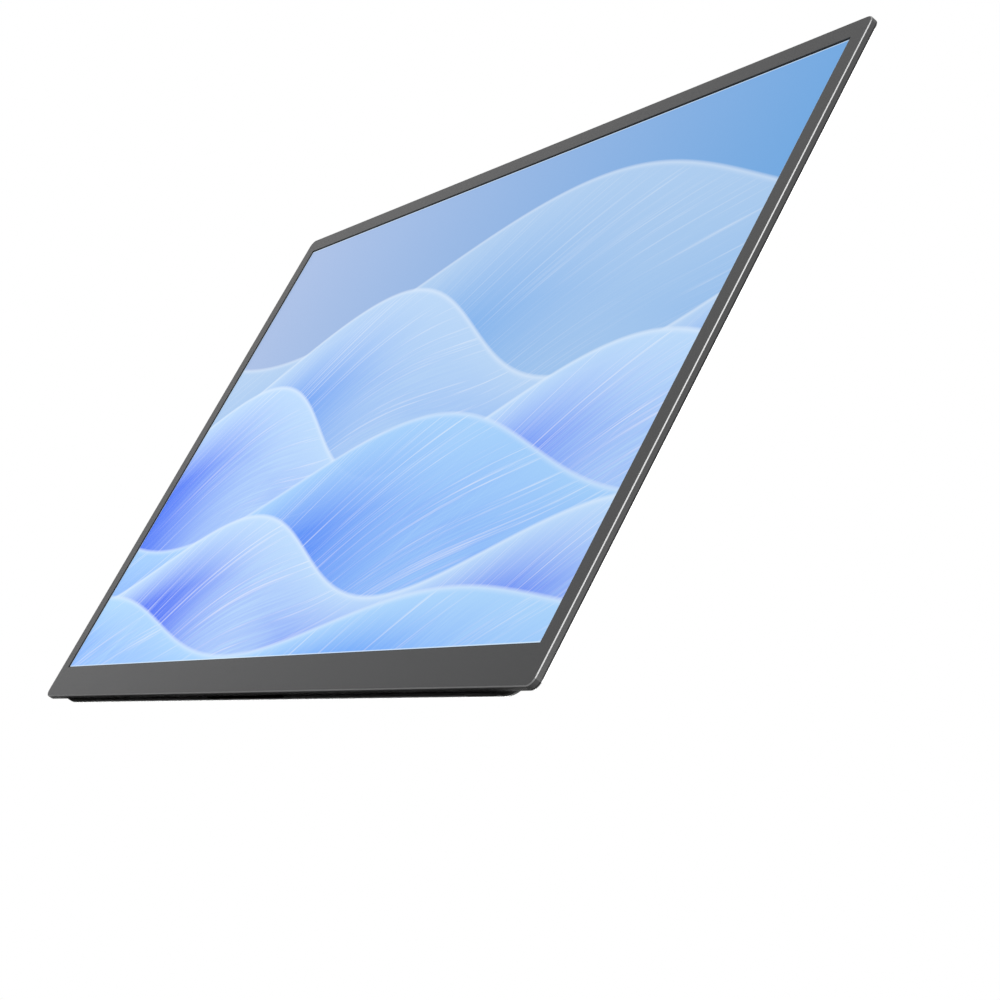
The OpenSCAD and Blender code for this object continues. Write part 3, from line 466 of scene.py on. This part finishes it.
def paint_shade_below_cap(material):
    """Paints what lies in front of the rear cap near black as painted shade, and makes it matt."""
    tree = material.node_tree
    body = tree.nodes["Principled BSDF"]
    place = tree.nodes.new("ShaderNodeTexCoord")
    split = tree.nodes.new("ShaderNodeSeparateXYZ")
    tree.links.new(place.outputs["Object"], split.inputs[0])
    # Painted shade: in front of the cap the lacquer gives way to near black.
    cap = maths(tree, "GREATER_THAN", split.outputs["Y"], cap_from)
    tone = tree.nodes.new("ShaderNodeMix")
    tone.data_type = "RGBA"
    tree.links.new(cap, tone.inputs[0])
    tone.inputs[6].default_value = (0.003, 0.003, 0.003, 1)
    tree.links.new(body.inputs["Base Color"].links[0].from_socket, tone.inputs[7])
    more_rough = 0.35
    matt = maths(tree, "MULTIPLY", maths(tree, "SUBTRACT", 1.0, cap), more_rough)
    rough = maths(tree, "ADD", body.inputs["Roughness"].links[0].from_socket, matt)
    wire(tree, body, Base_Color=tone.outputs[2], Roughness=rough)
    return material


# The housing's chamfers take a slightly lighter metallic tone as painted highlight, and below its
# cap it takes painted shade.
dress(paint_chamfer_highlight(paint_shade_below_cap(lacquer("housing_lacquer")), highlight_tone=0.06, side=0.0),
      "rear_housing")
dress(lacquer("plate_lacquer"), "stand_plate", "menu_rocker")

# Hinges
# Stamped and rolled steel leaves and bases, brushed along the axis, on polished pins.


def brushed_group():
    """Brush marks along X: long streaks in tone, roughness and relief."""
    tree = bpy.data.node_groups.new("brushed", "ShaderNodeTree")
    for name, kind in (("Vector", "NodeSocketVector"), ("Roughness", "NodeSocketFloat"),
                       ("Relief", "NodeSocketFloat")):
        tree.interface.new_socket(name, in_out="INPUT", socket_type=kind)
    for name, kind in (("Streak", "NodeSocketFloat"), ("Roughness", "NodeSocketFloat"),
                       ("Normal", "NodeSocketVector")):
        tree.interface.new_socket(name, in_out="OUTPUT", socket_type=kind)
    given = tree.nodes.new("NodeGroupInput").outputs
    drawn = tree.nodes.new("ShaderNodeMapping")
    tree.links.new(given["Vector"], drawn.inputs["Vector"])
    marks_along, marks_across = 260, 7000
    drawn.inputs["Scale"].default_value = (marks_along, marks_across, marks_across)
    marks = wire(tree, tree.nodes.new("ShaderNodeTexNoise"), Vector=drawn.outputs[0],
                 Scale=1.0, Detail=4.0, Roughness=0.7)
    rough_spread, mark_depth = 0.35, 0.00005
    rough = maths(tree, "MULTIPLY_ADD", maths(tree, "SUBTRACT", marks.outputs["Fac"], 0.5),
                  rough_spread, given["Roughness"])
    relief = wire(tree, tree.nodes.new("ShaderNodeBump"), Strength=given["Relief"],
                  Distance=mark_depth, Height=marks.outputs["Fac"])
    put = tree.nodes.new("NodeGroupOutput").inputs
    tree.links.new(marks.outputs["Fac"], put["Streak"])
    tree.links.new(rough, put["Roughness"])
    tree.links.new(relief.outputs["Normal"], put["Normal"])
    return tree


brushed = brushed_group()


def metal(name, dark, light, rough, relief):
    """A brushed or turned metal."""
    made = bpy.data.materials.new(name)
    made.use_nodes = True
    tree = made.node_tree
    place = tree.nodes.new("ShaderNodeTexCoord")
    marks = tree.nodes.new("ShaderNodeGroup")
    marks.node_tree = brushed
    wire(tree, marks, Vector=place.outputs["Object"], Roughness=rough, Relief=relief)
    tone = tree.nodes.new("ShaderNodeMix")
    tone.data_type = "RGBA"
    tree.links.new(marks.outputs["Streak"], tone.inputs[0])
    tone.inputs[6].default_value = (*dark, 1)
    tone.inputs[7].default_value = (*light, 1)
    wire(tree, tree.nodes["Principled BSDF"], Base_Color=tone.outputs[2], Metallic=1.0,
         Roughness=marks.outputs["Roughness"], Normal=marks.outputs["Normal"])
    return made


dress(metal("hinge_steel", (0.10, 0.10, 0.105), (0.20, 0.20, 0.205), rough=0.34, relief=0.3),
      "hinge_base_left", "hinge_base_right", "hinge_leaf_left", "hinge_leaf_right",
      "rocker_bracket")
dress(metal("pin_steel", (0.5, 0.5, 0.5), (0.65, 0.65, 0.65), rough=0.18, relief=0.1),
      "hinge_pin_left", "hinge_pin_right", "rocker_pin")

# Screws
# Small turned steel screws: bright ones in the hinge leaves, darker ones in the hinge bases,
# and zinc plated ones inside, like the keepers that hold the magnets.
dress(metal("screw_steel", (0.50, 0.50, 0.51), (0.68, 0.68, 0.69), rough=0.24, relief=0.2),
      "leaf_screws")
dress(metal("screw_dark", (0.14, 0.14, 0.15), (0.26, 0.26, 0.27), rough=0.3, relief=0.2),
      "hinge_base_screws")
dress(metal("zinc_plate", (0.12, 0.12, 0.13), (0.2, 0.2, 0.21), rough=0.38, relief=0.2),
      "housing_screws", "board_screws", "keeper_plates")

# Sockets
# Drawn nickel shells round a tongue, each with a row of gold contacts on its two faces. The
# magnets are nickel plated too.
dress(metal("nickel_shell", (0.42, 0.42, 0.42), (0.60, 0.60, 0.59), rough=0.25, relief=0.15),
      "usb_c_port_lower", "usb_c_port_upper", "mini_hdmi_port", "stand_magnets")

contact_gold = metal("contact_gold", (0.66, 0.43, 0.14), (0.82, 0.58, 0.24),
                     rough=0.22, relief=0.1)


def contact_rows(material):
    """Geometry Nodes: a row of flat contacts along Z, and its like on the tongue's other face."""
    tree = bpy.data.node_groups.new("contact_rows", "GeometryNodeTree")
    tree.is_modifier = True
    tree.interface.new_socket("Geometry", in_out="INPUT", socket_type="NodeSocketGeometry")
    for name, kind in (("Middle", "NodeSocketVector"), ("Count", "NodeSocketInt"),
                       ("Pitch", "NodeSocketFloat"), ("Size", "NodeSocketVector"),
                       ("Off Middle", "NodeSocketFloat")):
        tree.interface.new_socket(name, in_out="INPUT", socket_type=kind)
    tree.interface.new_socket("Geometry", in_out="OUTPUT", socket_type="NodeSocketGeometry")
    given = tree.nodes.new("NodeGroupInput").outputs
    span = maths(tree, "MULTIPLY", maths(tree, "SUBTRACT", given["Count"], 1.0), given["Pitch"])
    rows = []
    for side in (-1, 1):
        start = tree.nodes.new("ShaderNodeCombineXYZ")
        tree.links.new(maths(tree, "MULTIPLY", given["Off Middle"], side), start.inputs[1])
        tree.links.new(maths(tree, "MULTIPLY", span, -0.5), start.inputs[2])
        first = tree.nodes.new("ShaderNodeVectorMath")
        tree.links.new(given["Middle"], first.inputs[0])
        tree.links.new(start.outputs[0], first.inputs[1])
        step = tree.nodes.new("ShaderNodeCombineXYZ")
        tree.links.new(given["Pitch"], step.inputs[2])
        places = tree.nodes.new("GeometryNodeMeshLine")
        wire(tree, places, Count=given["Count"], Start_Location=first.outputs[0],
             Offset=step.outputs[0])
        strip = wire(tree, tree.nodes.new("GeometryNodeMeshCube"), Size=given["Size"])
        laid = wire(tree, tree.nodes.new("GeometryNodeInstanceOnPoints"),
                    Points=places.outputs[0], Instance=strip.outputs[0])
        rows.append(laid.outputs[0])
    joined = tree.nodes.new("GeometryNodeJoinGeometry")
    for row in rows:
        tree.links.new(row, joined.inputs[0])
    real = tree.nodes.new("GeometryNodeRealizeInstances")
    tree.links.new(joined.outputs[0], real.inputs[0])
    plated = tree.nodes.new("GeometryNodeSetMaterial")
    plated.inputs["Material"].default_value = material
    tree.links.new(real.outputs[0], plated.inputs["Geometry"])
    tree.links.new(plated.outputs[0], tree.nodes.new("NodeGroupOutput").inputs[0])
    return tree


contact_tree = contact_rows(contact_gold)
contact_length = 0.0040
contact_t = 0.00004
contact_from_end = 0.0034
tongue_half = 0.00036
for port, count, pitch in (("usb_c_port_lower", 12, 0.0005), ("usb_c_port_upper", 12, 0.0005),
                           ("mini_hdmi_port", 10, 0.0008)):
    low, high = (Vector(corner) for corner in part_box(port))
    middle = Vector((high.x - contact_from_end, (low.y + high.y) / 2, (low.z + high.z) / 2))
    shape = bpy.data.meshes.new("strips")
    strips = bpy.data.objects.new("strips", shape)
    bpy.context.scene.collection.objects.link(strips)
    grown = strips.modifiers.new("rows", "NODES")
    grown.node_group = contact_tree
    for socket in contact_tree.interface.items_tree:
        if socket.in_out == "INPUT" and socket.name != "Geometry":
            grown[socket.identifier] = {
                "Middle": middle, "Count": count, "Pitch": pitch, "Off Middle": tongue_half,
                "Size": (contact_length, contact_t, pitch / 2)}[socket.name]
    laid = strips.evaluated_get(bpy.context.evaluated_depsgraph_get())
    made = bpy.data.meshes.new_from_object(laid)
    strips.modifiers.remove(grown)
    bpy.data.objects.remove(strips)
    bpy.data.meshes.remove(shape)
    contacts = bpy.data.objects.new("contacts_" + port, made)
    bpy.context.scene.collection.objects.link(contacts)
    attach(contacts, "monitor")

# Boards, chips and cable
# Green boards with dark moulded chips, joined by a thin amber ribbon. They are seen only
# through the vent slots, with the stand open.
dress(finish_paint("board_resist", (0.008, 0.05, 0.028), (0.012, 0.07, 0.038),
                   rough=0.3, spread=0.1, relief=0.3, scale=1500),
      "main_board", "driver_board", "key_board", "rocker_board")
dress(finish_paint("moulded_chip", (0.012, 0.012, 0.013), (0.02, 0.02, 0.021),
                   rough=0.5, spread=0.1, relief=0.4, scale=6000),
      "board_chips", "power_switch", "rocker_switches", "speaker_left", "speaker_right")
dress(finish_paint("ribbon_film", (0.5, 0.25, 0.04), (0.62, 0.33, 0.06),
                   rough=0.22, spread=0.08, relief=0.1, scale=1200),
      "ribbon_cable", "panel_flex")
dress(finish_paint("socket_plastic", (0.72, 0.68, 0.58), (0.80, 0.76, 0.66),
                   rough=0.45, spread=0.1, relief=0.2, scale=3000), "ribbon_sockets")

# Feet, pads and power key
# Black rubber feet let into the bottom, small grey pads in the finger gaps, and the ribbed
# aluminium key.
dress(finish_paint("foot_rubber", (0.010, 0.010, 0.010), (0.017, 0.017, 0.017),
                   rough=0.75, spread=0.15, relief=0.6, scale=3500), "rubber_feet")
dress(finish_paint("pad_foam", (0.16, 0.16, 0.16), (0.24, 0.24, 0.24),
                   rough=0.7, spread=0.15, relief=0.6, scale=5000), "gap_pads")
dress(finish_paint("key_anodised", (0.62, 0.62, 0.63), (0.74, 0.74, 0.75),
                   rough=0.26, spread=0.1, relief=0.2, scale=4000, metallic=1.0), "power_key")
